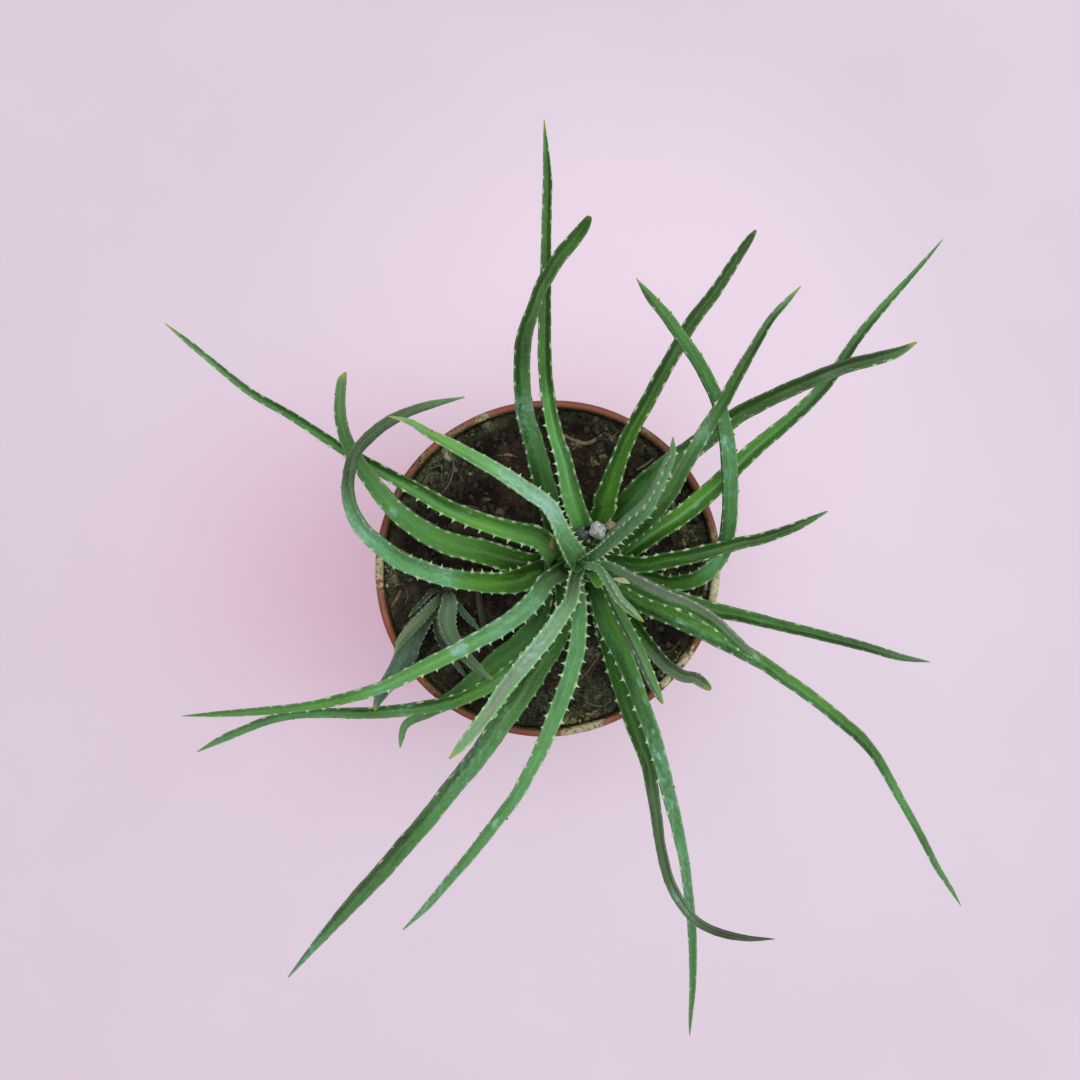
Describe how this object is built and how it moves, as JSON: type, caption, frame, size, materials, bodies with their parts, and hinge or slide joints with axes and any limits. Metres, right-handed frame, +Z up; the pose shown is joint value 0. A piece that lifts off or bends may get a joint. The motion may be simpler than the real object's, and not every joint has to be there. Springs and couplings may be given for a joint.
{
  "type": "potted aloe",
  "caption": "Young aloe with long, narrow, toothed leaves spreading from a short leaning stem, in a thin round nursery pot of soil with a small offset plant.",
  "frame": {"origin": "centre of the pot's underside, on the surface it stands on", "axes": "+Z up along the pot's axis; +X to the right and +Y to the top of the reference view, which looks straight down"},
  "size_m": [0.2746, 0.3103, 0.1902],
  "materials": {
    "pot": "matt terracotta-coloured thin plastic, with dried moss and lime on the rim",
    "soil": "dark crumbly peat compost with fibres, grit and moss",
    "stem": "green-brown scarred stem",
    "leaf": "satin green leaf skin with pale flecks, pale margins and white teeth",
    "young_leaf": "satin grey-green leaf skin with a waxy bloom, pale margins and white teeth",
    "pup_leaf": "satin blue-green leaf skin, duller than the main plant's",
    "dry_leaf": "matt withered leaf, brown",
    "pumice": "matt pale porous stone",
    "pebble": "matt small stone",
    "twig": "matt dry twig"
  },
  "bodies": {
    "root": {"pot": "pot", "soil": "soil", "stem": "stem", "pup_stem": "stem", "leaf_01": "leaf", "leaf_02": "leaf", "leaf_03": "leaf", "leaf_04": "young_leaf", "leaf_05": "leaf", "leaf_06": "leaf", "leaf_07": "leaf", "leaf_08": "leaf", "leaf_09": "leaf", "leaf_10": "leaf", "leaf_11": "leaf", "leaf_12": "young_leaf", "leaf_13": "leaf", "leaf_14": "leaf", "leaf_15": "leaf", "leaf_16": "young_leaf", "leaf_17": "leaf", "leaf_18": "leaf", "leaf_19": "young_leaf", "leaf_20": "leaf", "leaf_21": "leaf", "leaf_22": "leaf", "leaf_23": "leaf", "leaf_24": "young_leaf", "leaf_25": "leaf", "leaf_26": "leaf", "leaf_27": "leaf", "leaf_heart": "young_leaf", "pup_leaf_1": "pup_leaf", "pup_leaf_2": "pup_leaf", "pup_leaf_3": "pup_leaf", "pup_leaf_4": "pup_leaf", "pup_leaf_5": "pup_leaf", "pup_leaf_6": "pup_leaf", "dry_leaf": "dry_leaf", "pumice_stone": "pumice", "grey_pebble": "pebble", "sand_pebble": "pebble", "bark_scrap": "dry_leaf", "bract_scrap": "dry_leaf", "twig": "twig"}
  },
  "joints": []
}
